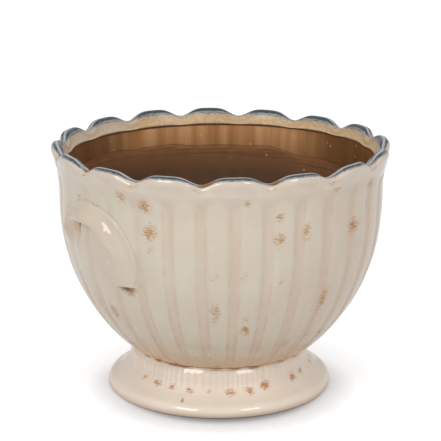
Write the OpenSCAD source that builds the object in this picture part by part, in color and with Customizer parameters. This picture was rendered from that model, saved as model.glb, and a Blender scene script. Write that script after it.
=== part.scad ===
// Footed round planter in glazed earthenware: a fluted bowl with a rolled,
// scalloped rim, luted to a flared hollow foot, with an arched lug handle on
// two opposite sides. The origin is the centre of the underside, +Z is up,
// and the handles stand on the X axis, each over a valley of the rim.

/* [Overall] */
// Width across the outside of the rolled rim
rim_d = 295; // [285:1:330]
// Height from the ground to the crests of the rim
pot_h = 220; // [205:1:260]
// Scallops round the rim
scallops = 16; // [10:1:20]
// Flutes on the bowl and the foot under each scallop
flutes_per_scallop = 2; // [1:1:2]

/* [Bowl] */
// Width of the bowl at its widest, below the flare of the rim
belly_d = 281; // [270:1:292]
// Height of that widest place above the ground
belly_z = 168; // [150:1:176]
// Width of the bowl's lower edge, where it stands on the foot
waist_d = 158; // [120:1:190]
// Thickness of the wall, measured at the lobes between the grooves
bowl_wall = 6.5; // [5:0.5:10]
// Thickness of the floor of the bowl
bowl_floor = 9; // [6:0.5:16]
// Depth of the grooves between the lobes
groove_depth = 2.4; // [1:0.1:3]
// Width of the grooves at the widest place of the bowl
groove_w = 8; // [5:0.5:12]
// Distance from the crests of the rim down to the round tops of the lobes
lobe_top_drop = 21; // [18:0.5:34]

/* [Rim] */
// Thickness of the roll, from its inner to its outer side
lip_w = 10.5; // [7:0.5:14]
// Height of the rim piece at the crests, from its seat on the bowl
rim_h = 16.5; // [14:0.5:24]
// Fall of the rim from a crest to a valley
scallop_fall = 6.6; // [3:0.2:8]
// How far the rim draws in from a crest to a valley
scallop_draw = 2.8; // [0:0.2:5]
// How far the band inside the rim reaches in from the roll
band_reach = 4; // [2:0.5:8]
// How far the lower edge of that band lies below the crests
band_drop = 13; // [10:0.2:16]
// How far that edge stands in from the wall of the bowl
band_overhang = 1.8; // [0.5:0.1:3]

/* [Foot] */
// Width of the foot at the ground
foot_d = 198; // [170:1:240]
// Height of the foot up to the underside of the bowl
foot_h = 37.5; // [28:0.5:55]
// How far the neck of the foot stands in from the bowl's lower edge
neck_step = 3; // [2.5:0.5:10]
// Height of the upright edge at the ground
foot_edge = 5.4; // [3:0.2:8]
// Thickness of the wall of the hollow foot
foot_wall = 8; // [5:0.5:12]
// Height at which the ribs of the foot end, above the plain skirt
skirt_z = 16.5; // [10:0.5:20]
// How far the ribs stand out from the flutes of the foot
rib_h = 1.3; // [0.5:0.1:2.5]
// Height of the bead of slip in the corner between foot and bowl
bead_h = 1.6; // [0.6:0.1:3]

/* [Handles] */
// Width of a handle over both legs, along the wall
handle_w = 105; // [86:1:124]
// Height of the top of the crown above the ground
handle_top = 186; // [172:1:190]
// Height above the ground of the widest place of a handle
handle_mid_z = 140; // [132:1:152]
// Height above the ground of the ends of the legs
handle_low_z = 119; // [104:1:124]
// Width of the band at the crown
crown_w = 17; // [12:1:24]
// Width of the band at the widest place of the handle
leg_w = 21; // [15:1:26]
// Width of the band at the ends of the legs
leg_end_w = 14; // [10:1:20]
// How far the legs draw together towards their ends
leg_pull = 4; // [0:0.5:8]
// How far the crown stands out from the bowl
crown_proud = 9.5; // [9:0.5:14]
// How far the legs stand out from the bowl
leg_proud = 4.6; // [3:0.2:8]
// Depth of the finger hollow between the crown and the bowl
finger_gap = 6; // [4:0.5:7]
// Gap left between a handle and the lobes that it lies on
handle_clearance = 0.15; // [0.1:0.05:0.3]

/* [Hidden] */
flutes = scallops * flutes_per_scallop;
rim_r = rim_d / 2;
belly_r = belly_d / 2;
waist_r = waist_d / 2;
neck_r = waist_r - neck_step;
foot_r = foot_d / 2;
// Level of the flat seat between bowl and rim
seat_z = pot_h - rim_h;
lobe_top_z = pot_h - lobe_top_drop;
// The wall starts to flare this far under its seat, and takes this share of
// the whole step from belly to rim
flare_rise = 26;
flare_share = 0.5;
// Half height of the ellipse that the side of the bowl follows
side_b = (belly_z - foot_h) / sqrt(1 - pow(waist_r / belly_r, 2));
// Width of a flute with its groove, and of its lobe, at the widest place
pitch = PI * belly_d / flutes;
lobe_w = pitch - groove_w;
// Share of the depth of the grooves that rounds the tops of the lobes
lobe_dome = 0.25;
// Places in a pitch, from groove to groove, where a ring has its points
bowl_steps = [0, groove_w / pitch / 2, 0.34, 0.66, 1 - groove_w / pitch / 2];
foot_steps = [0, 0.14, 0.5, 0.86];
scallop_steps = 8;
handle_steps = 36;
// Radius of the corner between wall and floor inside the bowl
floor_corner = 10;
// Higher powers draw the valleys of the rim narrower against its crests,
// and the sweep of the foot further out near the ground
valley_power = 1.3;
sweep_power = 2.05;
// How far the upright edge at the ground draws in up to its top, as a share
// of its height
edge_draft = 0.18;
// Straight part of the neck right under the bowl
neck_h = 1.5;
// Half width of a rib of the foot, as a share of the pitch
rib_share = 0.3;
// Share by which the rounded end of a leg is smaller than the leg
end_taper = 0.2;

function smooth(t) = let (c = min(1, max(0, t))) c * c * (3 - 2 * c);
function mix(a, b, t) = a + (b - a) * t;

// Distance to the nearest groove, as a share of the pitch, at angle a
function to_groove(a) = let (u = a * flutes / 360, f = u - floor(u)) min(f, 1 - f);

// Radius of the side of the bowl over the tops of its lobes
function side_r(z) =
    let (low = min(z, belly_z), up = max(0, z - (seat_z - flare_rise)) / flare_rise)
    belly_r * sqrt(1 - pow((belly_z - low) / side_b, 2))
        + (rim_r - belly_r) * flare_share * up * up;

// How far a lobe has risen at angle a and height z, from 0 in a groove to 1.
// A lobe is as wide as the pitch leaves it and ends in a half circle.
function lobe(a, z) =
    let (across = (0.5 - to_groove(a)) * pitch)
    let (above = max(0, z - (lobe_top_z - lobe_w / 2)))
    let (inside = lobe_w / 2 - sqrt(across * across + above * above))
    smooth(0.5 + inside / groove_w) * (1 - lobe_dome * pow(across / pitch * 2, 2));

// Radius of the outside of the bowl. The grooves are shallower where the
// bowl is narrower, and fade out below the rim.
function bowl_r(a, z) =
    let (start = lobe_top_z - groove_w, left = 1 - smooth((z - start) / (seat_z - start)))
    side_r(z) * (1 - groove_depth / belly_r * (1 - lobe(a, z)) * left);

// Lower edge of the band inside the rim, and the wall that it overhangs
band_edge_r = rim_r - lip_w - band_reach;
band_edge_z = pot_h - band_drop;
seat_inner_r = min(band_edge_r + band_overhang, side_r(seat_z) - bowl_wall);

// Radius of the inside wall of the bowl
function inside_r(z) =
    let (b = side_b - bowl_wall * 1.2, low = min(z, belly_z))
    let (up = max(0, z - belly_z) / (seat_z - belly_z))
    let (start = belly_r - bowl_wall)
    start * sqrt(1 - pow((belly_z - low) / b, 2)) + (seat_inner_r - start) * up * up;

// Fall of the rim at angle a, from 0 on a crest to 1 in a valley
function valley(a) = pow((1 + cos(a * scallops)) / 2, valley_power);

// Radius of the sweep of the foot, from its neck down to the ground edge
function foot_side_r(z) =
    let (top = foot_h - neck_h, reach = foot_r - foot_edge * edge_draft - neck_r)
    neck_r + reach * pow(max(0, top - z) / (top - foot_edge), sweep_power);

// Height of a rib over the flutes of the foot, at angle a
function rib(a) = smooth(1 - to_groove(a) / rib_share);

// Radius of the outside of the ribbed part of the foot
function foot_rib_r(a, z) =
    let (low = smooth((z - skirt_z) / 4), high = smooth((foot_h - z) / 3))
    foot_side_r(z) - rib_h * (1 - rib(a)) * low * high;

function around(count, steps) =
    [for (i = [0:count - 1], s = steps) 360 * (i + s) / count];

function ring(radii, angles, z) =
    [for (i = [0:len(angles) - 1])
        [radii[i] * cos(angles[i]), radii[i] * sin(angles[i]), z]];

function even(r, angles) = [for (a = angles) r];

// Closed skin over rings of equal length. The rings run up the outside and
// down the inside; ends are capped unless the rings make a loop.
module skin(rings, loop = false) {
    n = len(rings[0]);
    k = len(rings);
    last = loop ? k - 1 : k - 2;
    sides = [for (i = [0:last], j = [0:n - 1])
        let (p = i * n + j, q = i * n + (j + 1) % n)
        let (r = ((i + 1) % k) * n + j, s = ((i + 1) % k) * n + (j + 1) % n)
        each [[p, r, q], [q, r, s]]];
    caps = loop ? [] : [[for (j = [0:n - 1]) j], [for (j = [n - 1:-1:0]) (k - 1) * n + j]];
    polyhedron([for (r = rings) each r], concat(sides, caps), convexity = 8);
}

module bowl() {
    angles = around(flutes, bowl_steps);
    floor_z = foot_h + bowl_floor;
    fan_z = lobe_top_z - lobe_w / 2 - 2;
    outer_z = [
        for (t = [0:9]) mix(foot_h, fan_z, pow(t / 9, 1.15)),
        for (t = [1:3]) mix(fan_z, lobe_top_z, t / 3),
        seat_z
    ];
    outside = [for (z = outer_z) ring([for (a = angles) bowl_r(a, z)], angles, z)];
    corner_z = floor_z + floor_corner;
    inner_z = [for (t = [0:5]) mix(seat_z, corner_z, pow(t / 5, 0.9))];
    inside = [for (z = inner_z) ring(even(inside_r(z), angles), angles, z)];
    bottom = [
        ring(even(inside_r(corner_z) - floor_corner * 0.75, angles), angles, floor_z + floor_corner * 0.3),
        ring(even(inside_r(corner_z) - floor_corner * 1.8, angles), angles, floor_z)
    ];
    color("antiquewhite") skin(concat(outside, inside, bottom));
}

// Cross-section of the rim over a crest, as radius, height and share of the
// fall that the point takes in a valley: up from the seat, over the roll,
// down the band to its lower edge and back under it
lip_z = pot_h - lip_w / 2;
lip_r = rim_r - lip_w / 2;
rim_section = [
    [side_r(seat_z), seat_z, 0],
    [mix(side_r(seat_z), rim_r, 0.4), mix(seat_z, lip_z, 0.45), 0.4],
    for (t = [-20:28:204]) [lip_r + lip_w / 2 * cos(t), lip_z + lip_w / 2 * sin(t), 1],
    [mix(rim_r - lip_w, band_edge_r, 0.55), mix(lip_z, band_edge_z, 0.5), 0.6],
    [band_edge_r, band_edge_z, 0.17],
    [band_edge_r, mix(band_edge_z, seat_z, 0.35), 0.1],
    [seat_inner_r, mix(band_edge_z, seat_z, 0.7), 0],
    [seat_inner_r, seat_z, 0]
];

module rim_roll() {
    angles = around(scallops, [for (i = [0:scallop_steps - 1]) i / scallop_steps]);
    rings = [for (p = rim_section) [for (a = angles)
        let (fall = valley(a) * p[2], r = p[0] - scallop_draw * fall)
        [r * cos(a), r * sin(a), p[1] - scallop_fall * fall]]];
    color("slategray") skin(rings, loop = true);
}

// Upright edge of the foot at the ground: share of its height that a point
// stands in from the full width, and share of the height
ground_edge = [[0.15, 0], [0.02, 0.15], [0, 0.33], [0.07, 0.7]];

module foot() {
    angles = around(flutes, foot_steps);
    skirt_zs = [for (t = [0:2]) mix(foot_edge, skirt_z, t / 2)];
    rib_zs = [for (t = [1:6]) mix(skirt_z, foot_h, t / 6)];
    outside = [
        for (p = ground_edge) ring(even(foot_r - p[0] * foot_edge, angles), angles, p[1] * foot_edge),
        for (z = skirt_zs) ring(even(foot_side_r(z), angles), angles, z),
        for (z = rib_zs) ring([for (a = angles) foot_rib_r(a, z)], angles, z)
    ];
    inside = [for (t = [0:3]) let (z = mix(foot_h, 0, t / 3))
        ring(even(foot_side_r(max(z, foot_edge)) - foot_wall, angles), angles, z)];
    color("linen") skin(concat(outside, inside), loop = true);
}

// The bead fills the corner between the neck and the bowl's underside
module joint_bead() {
    reach = min(bead_h, neck_step - groove_depth * waist_r / belly_r);
    color("sienna") rotate_extrude($fn = 96)
        polygon([
            [neck_r + 0.02, foot_h],
            [neck_r + 0.02, foot_h - bead_h],
            [neck_r + reach * 0.5, foot_h - bead_h * 0.45],
            [neck_r + reach, foot_h]
        ]);
}

// Middle line of a handle for t from -1 to 1: distance along the wall from
// the handle's middle, height, and the direction across the band. An arch
// over the middle height, and a leg below it on each side.
arch_share = 0.76;
arch_w = (handle_w - leg_w) / 2;
arch_h = handle_top - crown_w / 2 - handle_mid_z;
function handle_place(t) =
    let (a = 90 - 90 * t / arch_share, leg = max(0, abs(t) - arch_share) / (1 - arch_share))
    abs(t) < arch_share
        ? [arch_w * cos(a), handle_mid_z + arch_h * sin(a), cos(a), sin(a)]
        : [sign(t) * (arch_w - leg_pull * leg * leg), mix(handle_mid_z, handle_low_z, leg), sign(t), 0];

// Cross-section of a handle: place across the band, from 0.5 on its outer
// side to -0.5 on its inner, share of the thickness over the finger hollow,
// share of the hollow
handle_section = [
    [0.5, 0, 0], [0.46, 0.4, 0.4], [0.36, 0.7, 0.7], [0.2, 0.92, 0.92], [0, 1, 1],
    [-0.2, 0.95, 1], [-0.38, 0.75, 1], [-0.48, 0.4, 1], [-0.5, 0.1, 1],
    [-0.44, 0, 1], [-0.2, 0, 1], [0, 0, 0.8], [0.1, 0, 0]
];

module handle() {
    rings = [for (i = [0:handle_steps])
        let (t = 2 * i / handle_steps - 1, p = handle_place(t))
        let (down = smooth(abs(t) / arch_share), leg = smooth((abs(t) - arch_share) / (1 - arch_share)))
        let (tip = 1 - end_taper * smooth((abs(t) - 0.94) / 0.06))
        let (w = mix(mix(crown_w, leg_w, down), leg_end_w, leg) * tip)
        let (h = mix(crown_proud, leg_proud, smooth(abs(t) / 0.6)) * tip)
        let (gap = finger_gap * (1 - smooth((abs(t) - 0.1) / 0.5)))
        [for (q = handle_section)
            let (s = p[0] + q[0] * w * p[2], z = p[1] + q[0] * w * p[3])
            let (r = side_r(z) + handle_clearance + q[1] * (h - gap) + q[2] * gap)
            let (a = s / side_r(z) * 180 / PI)
            [r * cos(a), r * sin(a), z]]];
    color("antiquewhite") skin(rings);
}

module handle_right() {
    handle();
}

module handle_left() {
    rotate([0, 0, 180]) handle();
}

bowl();
rim_roll();
foot();
joint_bead();
handle_right();
handle_left();
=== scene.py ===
# %% [markdown]
# # A footed planter in glazed earthenware
# The real pot is one fired body, put together from parts: a fluted bowl, a rolled rim with
# scallops, a flared foot, two arched lug handles and a bead of slip between bowl and foot. It has
# a thin cream glaze that was wiped off to the ochre slip here and there, a blue-grey line on the
# rim and a brown glaze inside.
# The solid model gives the sizes. This lesson gives each part a finer skin and its glaze.

# %% Load the solid model
from math import cos, pi, radians, sin, sqrt
import bpy
import numpy as np
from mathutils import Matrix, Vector


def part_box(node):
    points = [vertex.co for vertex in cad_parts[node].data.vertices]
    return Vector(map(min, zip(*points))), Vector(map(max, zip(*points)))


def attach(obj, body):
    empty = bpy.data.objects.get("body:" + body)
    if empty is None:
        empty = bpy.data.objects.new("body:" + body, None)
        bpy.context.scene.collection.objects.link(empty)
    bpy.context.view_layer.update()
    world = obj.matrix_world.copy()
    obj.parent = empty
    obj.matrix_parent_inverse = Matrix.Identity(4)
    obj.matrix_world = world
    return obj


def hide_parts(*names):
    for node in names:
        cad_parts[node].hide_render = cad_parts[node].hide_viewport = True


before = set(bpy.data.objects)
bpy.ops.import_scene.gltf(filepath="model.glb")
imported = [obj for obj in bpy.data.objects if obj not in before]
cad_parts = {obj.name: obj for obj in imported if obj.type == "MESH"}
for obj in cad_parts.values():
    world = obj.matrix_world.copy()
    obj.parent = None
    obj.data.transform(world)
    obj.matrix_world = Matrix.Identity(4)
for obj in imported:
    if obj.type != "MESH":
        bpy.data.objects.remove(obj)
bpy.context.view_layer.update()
print("solid parts:", sorted(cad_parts))

# %% [markdown]
# ## The camera
# The photograph looks down a little on the pot. Its angle, distance and lens were worked out
# from the two ellipses that can be measured in it, the rim and the ground line of the foot.
# The camera aims at a point on the axis, and a tiny shift puts the axis where it was there.

# %% Camera
VIEW_AZIMUTH, VIEW_ELEVATION = -38.3, 15.145
VIEW_DISTANCE, AIM_HEIGHT = 1.452, 0.1465


def toward(azimuth, elevation):
    """Unit vector from the pot toward a place at that azimuth and elevation, in degrees."""
    a, e = radians(azimuth), radians(elevation)
    return Vector((sin(a) * cos(e), -cos(a) * cos(e), sin(e)))


def aim(thing, place, target):
    """Stands a camera or a lamp at place, looking at target."""
    thing.location = place
    thing.rotation_euler = (target - place).to_track_quat("-Z", "Y").to_euler()


def new_object(name, data):
    """New object, linked to the scene."""
    made = bpy.data.objects.new(name, data)
    bpy.context.scene.collection.objects.link(made)
    return made


camera = new_object("camera", bpy.data.cameras.new("camera"))
camera.data.lens = 134.97
camera.data.sensor_width = 36.0
camera.data.shift_x = -0.0012
aim_point = Vector((0, 0, AIM_HEIGHT))
aim(camera, aim_point + VIEW_DISTANCE * toward(VIEW_AZIMUTH, VIEW_ELEVATION), aim_point)
bpy.context.scene.camera = camera
bpy.context.scene.view_settings.view_transform = "Standard"
print("camera stands at", [round(v, 3) for v in camera.location])

# %% [markdown]
# ## Sizes of the pot
# All sizes are in millimetres, as in the solid model. Angles run round the axis from the middle
# of the right handle. Those taken from the photograph are counted from the middle of the picture,
# so one helper turns them. Heights measured in it were 1.35% small: PHOTO_SCALE corrects them.

# %% Sizes
MM = 0.001
RIM_R, BELLY_R, WAIST_R, NECK_R = 147.5, 140.5, 79.0, 76.0
FOOT_TOP, BELLY_Z, SEAT_Z, RIM_TOP = 37.5, 168.0, 203.5, 220.0
SCALLOPS, FLUTES, WALL = 16, 32, 6.5
PHOTO_SCALE = 1.0135
PHOTO_TURN = -128.3
COLUMNS = FLUTES * 20
round_pot = np.arange(COLUMNS) * 2 * pi / COLUMNS
low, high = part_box("rim_roll")
print("the rim piece runs from", round(low.z / MM, 1), "to", round(high.z / MM, 1), "mm")


def photo_angle(degrees):
    """Angle round the pot, in radians, of a place measured in the photograph."""
    return radians(degrees + PHOTO_TURN)


def smooth(t):
    """Soft step from 0 to 1."""
    t = np.clip(t, 0.0, 1.0)
    return t * t * (3 - 2 * t)


def mix(a, b, t):
    """Value between a and b."""
    return a + (b - a) * t


def apart(a, b):
    """Shortest turn from direction b to direction a."""
    return (a - b + pi) % (2 * pi) - pi

# %% [markdown]
# ## What the potter's hands did
# A pot pressed and trimmed by hand is never quite even. A few slow waves, from a fixed random
# draw, move a surface by a few tenths of a millimetre. The rim also sank a little in the kiln,
# most at the back right of the picture.

# %% Hand-made unevenness
hand = np.random.default_rng(11)
waves = [(hand.integers(2, 9), hand.uniform(0.01, 0.05), hand.uniform(0, 6.28)) for _ in range(9)]
DIPS = ((141, 2.1, 0.55), (-35, 1.2, 0.35), (35, 0.9, 0.4))


def uneven(angle, z):
    """Slow waves between about -1 and 1."""
    return sum(np.sin(turns * angle + z * rise + start) for turns, rise, start in waves) / 4.5


def sunk(angle):
    """How far the rim sank, in mm, from dips with a place in degrees, a depth and a width."""
    return sum(deep * np.exp(-(apart(angle, photo_angle(at)) / wide) ** 2) for at, deep, wide in DIPS)


print("the rim sank by up to", round(float(sunk(round_pot).max()), 2), "mm")

# %% [markdown]
# ## One way to skin every part
# Each part can be laid out as rings of points, one above the other, up its outside and down its
# inside. Blender has lathe tools, but flutes, scallops and handles aren't round, so the rings are
# worked out with numpy. Three helpers are enough: one scales vectors, one finds which way the
# rings face, and one turns radius, angle and height into points.

# %% Rings
def unit(vectors):
    """Vectors scaled to length 1."""
    return vectors / np.maximum(np.linalg.norm(vectors, axis=-1, keepdims=True), 1e-9)


def ring_normals(rings):
    """Outward normal at each point of rings that go round."""
    across = np.roll(rings, -1, 1) - np.roll(rings, 1, 1)
    return unit(np.cross(across, np.gradient(rings, axis=0)))


def turned(radius, angle, z):
    """Points from radius, angle and height."""
    radius, angle, z = np.broadcast_arrays(radius, angle, z)
    return np.stack([radius * np.cos(angle), radius * np.sin(angle), z], -1)


print("the belly in the middle of the picture is at", turned(BELLY_R, photo_angle(0), BELLY_Z).round(1))

# %% [markdown]
# ## Faces over the rings
# Rings side by side are joined by four-sided faces, and an open end is closed by a fan of
# triangles. Neighbouring strips share a ring, yet keep their own normals there, which gives a
# crisp edge where one is wanted. Masks are numbers at each point, mostly from 0 to 1, that
# later tell a glaze where it lies.

# %% Skins from rings
def skin(name, strips, finishes, masks=None, loop=False):
    """Closed piece over strips, each given as (rings, normals or one normal, number of its finish)."""
    rings = np.concatenate([strips[0][0]] + [strip[0][1:] for strip in strips[1:]])
    rings = rings[:-1] if loop else rings
    rows, columns = rings.shape[:2]
    points = rings.reshape(-1, 3) * MM
    j, k = np.arange(columns), np.roll(np.arange(columns), -1)
    faces, normals, numbers = [], [], []
    row = 0
    for strip, strip_normals, number in strips:
        strip_normals = np.broadcast_to(strip_normals, strip.shape)
        for i in range(len(strip) - 1):
            here, above = (row + i) * columns, ((row + i + 1) % rows) * columns
            faces.append(np.stack([here + j, here + k, above + k, above + j], -1))
            a, b = strip_normals[i], strip_normals[i + 1]
            normals.append(np.stack([a, a[k], b[k], b], 1).reshape(-1, 3))
            numbers += [number] * columns
        row += len(strip) - 1
    faces, normals = np.concatenate(faces).tolist(), np.concatenate(normals).tolist()
    if not loop:
        for row, number, up in ((0, strips[0][2], False), (rows - 1, strips[-1][2], True)):
            hub = np.full(columns, len(points))
            centre = rings[row].mean(0)
            points = np.concatenate([points, [centre * MM]])
            a, b = row * columns + j, row * columns + k
            faces += np.stack([a, b, hub] if up else [b, a, hub], -1).tolist()
            first, second = rings[row, 0] - centre, rings[row, columns // 4] - centre
            out = unit(np.cross(first, second)) * (1 if up else -1)
            normals += [out.tolist()] * (3 * columns)
            numbers += [number] * columns
    mesh = bpy.data.meshes.new(name)
    mesh.from_pydata(points.tolist(), [], faces)
    for finish in finishes:
        mesh.materials.append(finish)
    mesh.polygons.foreach_set("material_index", numbers)
    mesh.normals_split_custom_set(normals)
    for mask, values in (masks or {}).items():
        flat = np.zeros(len(points))
        flat[:rows * columns] = np.broadcast_to(values, (rows, columns)).ravel()
        mesh.attributes.new(mask, "FLOAT", "POINT").data.foreach_set("value", flat)
    piece = new_object(name, mesh)
    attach(piece, "root")
    print(name, "has", len(points), "points and", len(faces), "faces")
    return piece


print("a skin has", COLUMNS, "points in each ring")

# %% [markdown]
# ## Adding nodes
# A glaze is mixed from nodes: noise for the cloudiness of the melt, masks for the places where
# it pools or breaks, and one shader. One helper adds a node with its settings and its links.
# Colours are written as they look on a screen and turned to Blender's linear light.

# %% Node helpers
def light_of(code):
    """Linear colour of an sRGB hex value."""
    screen = [int(code[i:i + 2], 16) / 255 for i in (1, 3, 5)]
    return tuple(c / 12.92 if c <= 0.04045 else ((c + 0.055) / 1.055) ** 2.4 for c in screen) + (1.0,)


def add(tree, kind, inputs=None, **settings):
    """New shader node; each input is a value, a socket or a node whose first output is taken."""
    node = tree.nodes.new("ShaderNode" + kind)
    for setting, value in settings.items():
        setattr(node, setting, value)
    for name, value in (inputs or {}).items():
        if isinstance(value, bpy.types.Node):
            value = next(socket for socket in value.outputs if socket.enabled)
        if isinstance(value, bpy.types.NodeSocket):
            tree.links.new(value, node.inputs[name])
        else:
            node.inputs[name].default_value = value
    return node


print("screen grey #808080 is", round(light_of("#808080")[0], 3), "in linear light")

# %% [markdown]
# ## A lead glaze on earthenware
# Every glaze on this pot is a thin sheet of glass over clay: smooth, so it mirrors windows
# sharply, with an index of about 1.5, and never quite level, because it ran a little as it
# melted. All glazes share that sheet, so one recipe makes it, and each glaze brings its own
# colour. The sheet stands in waves about 26 mm long, with finer ones of 5 mm over them.

# %% Glaze recipe
GLAZE_IOR, GLAZE_ROUGHNESS = 1.5, 0.07
RUN_SIZE, PEEL_SIZE = 26.0, 5.0
RUN_HEIGHT, PEEL_HEIGHT, GRAIN_HEIGHT = 4 * MM, 0.6 * MM, 0.3 * MM


def new_finish(name, *masks):
    """New material, its empty tree, the place on the pot in millimetres and the masks it reads."""
    finish = bpy.data.materials.new(name)
    finish.use_nodes = True
    tree = finish.node_tree
    tree.nodes.clear()
    where = add(tree, "TexCoord").outputs["Object"]
    place = add(tree, "VectorMath", {0: where, 3: 1 / MM}, operation="SCALE")
    read = {mask: add(tree, "Attribute", attribute_name=mask).outputs["Fac"] for mask in masks}
    return finish, tree, place, read


def glass_sheet(tree, place, colour, roughness=GLAZE_ROUGHNESS, relief=0.10, grain=None, matt=None):
    """The glaze's shader: colour under a slightly wavy, glossy surface, duller where matt says."""
    run = add(tree, "TexNoise", {"Vector": place, "Scale": 1 / RUN_SIZE})
    peel = add(tree, "TexNoise", {"Vector": place, "Scale": 1 / PEEL_SIZE, "Detail": 1})
    dull = add(tree, "MapRange", {
        "Value": peel, "To Min": roughness - 0.03, "To Max": roughness + 0.05})
    if matt is not None:
        dull = add(tree, "Math", {0: matt, 1: 0.4, 2: dull}, operation="MULTIPLY_ADD")
    wavy = add(tree, "Bump", {"Height": run, "Strength": relief, "Distance": RUN_HEIGHT})
    wavy = add(tree, "Bump", {
        "Height": peel, "Strength": relief * 0.5, "Distance": PEEL_HEIGHT, "Normal": wavy})
    if grain is not None:
        wavy = add(tree, "Bump", {
            "Height": grain, "Strength": 0.35, "Distance": GRAIN_HEIGHT, "Normal": wavy})
    shader = add(tree, "BsdfPrincipled", {
        "Base Color": colour, "Roughness": dull, "IOR": GLAZE_IOR, "Normal": wavy})
    add(tree, "OutputMaterial", {"Surface": shader})


print("the glaze has an index of", GLAZE_IOR, "and runs in waves of", RUN_SIZE, "mm")

# %% [markdown]
# ## Cream glaze, wiped to the slip
# The cream glaze lies thick and pinkish in the grooves and thin over their edges, where the
# clay shows as a faint line, more so low on the bowl. A browner tan paints shade where little
# light falls, and low on the bowl also the foot's reflection. Where a stiff brush wiped it, ochre
# specks and short strokes about 1 mm wide are left. The strokes come from noise that is
# stretched on a slant, cut off by each patch's mask. Where the glaze was rubbed or ran dry it is
# duller, and a dark brown paints the shadow where two parts meet, over glaze pooled there.

# %% Cream glaze
CLOUD_SIZE, WEAR_SIZE = 34.0, 9.0
STROKE_SLANT, STROKE_STRETCH = (0.6, -0.4, 0.0), (0.3, 0.3, 1.35)


def cream_glaze(name, base, cloud, groove_colour, slip):
    """Cream glaze over its slip, by the masks of its piece."""
    finish, tree, place, mask = new_finish(name, "groove", "edge", "wiped", "painted_shade", "shadow_and_pooled_glaze", "dry")
    clouds = add(tree, "TexNoise", {"Vector": place, "Scale": 1 / CLOUD_SIZE, "Detail": 3})
    cloudy = add(tree, "MapRange", {"Value": clouds, "From Min": 0.35, "From Max": 0.65})
    pooled = add(tree, "Math", {0: mask["groove"], 1: 0.75}, operation="MULTIPLY")
    worn = add(tree, "TexNoise", {"Vector": place, "Scale": 1 / WEAR_SIZE, "Detail": 4})
    worn = add(tree, "MapRange", {"Value": worn, "From Min": 0.38, "From Max": 0.62, "To Min": 0.25})
    line = add(tree, "Math", {0: mask["edge"], 1: worn}, operation="MULTIPLY")
    slant = add(tree, "Mapping", {"Vector": place, "Rotation": STROKE_SLANT, "Scale": STROKE_STRETCH})
    strokes = add(tree, "TexNoise", {"Vector": slant, "Scale": 1, "Roughness": 0.6})
    strokes = add(tree, "MapRange", {
        "Value": strokes, "From Min": 0.36, "From Max": 0.66, "To Max": 0.75})
    left = add(tree, "Math", {0: mask["wiped"], 1: 0.85, 2: strokes}, operation="MULTIPLY_ADD")
    bare = add(tree, "MapRange", {"Value": left, "From Min": 0.78, "From Max": 1.28, "To Max": 0.95})
    seen = add(tree, "Math", {0: mask["wiped"], 1: 5}, operation="MULTIPLY", use_clamp=True)
    bare = add(tree, "Math", {0: bare, 1: seen}, operation="MULTIPLY")
    colour = light_of(base)
    # A browner tan here paints shade, and a dark brown paints shadow over pooled glaze.
    for share, code in ((cloudy, cloud), (pooled, groove_colour), (line, "#BC9C80"),
                        (mask["painted_shade"], "#C6A788"), (bare, slip), (mask["shadow_and_pooled_glaze"], "#6B3C1A")):
        colour = add(tree, "Mix", {0: share, 6: colour, 7: light_of(code)}, data_type="RGBA")
    glass_sheet(tree, place, colour, grain=bare, matt=mask["dry"])
    return finish


bowl_glaze = cream_glaze("cream glaze on the bowl", "#CFC5B3", "#CCBEAC", "#CAB5A1", "#AD7B3C")
foot_glaze = cream_glaze("cream glaze on the foot", "#E9DCCD", "#E4D5C5", "#DCCAB9", "#B67C38")
print("cream glazes:", bowl_glaze.name, "|", foot_glaze.name)

# %% [markdown]
# ## Brown glaze inside
# Inside, a honey-coloured iron glaze was poured in and tipped out. Soft vertical streaks, lighter
# and darker, line the wall, and a second, thicker coat left a wavy tide line, dark brown below it
# and darker the deeper it lies. A few pinholes, where gas came through the melt, show the tan
# clay. The mask deep is how many millimetres a point lies below the tide line, and thick darkens
# the inside everywhere but at the middle of the back.

# %% Inside glaze
STREAK_SIZE, TIDE_SIZE, RUN_LINE_SIZE, PINHOLE_GAP = 13.0, 4.0, 2.2, 11.0


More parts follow.
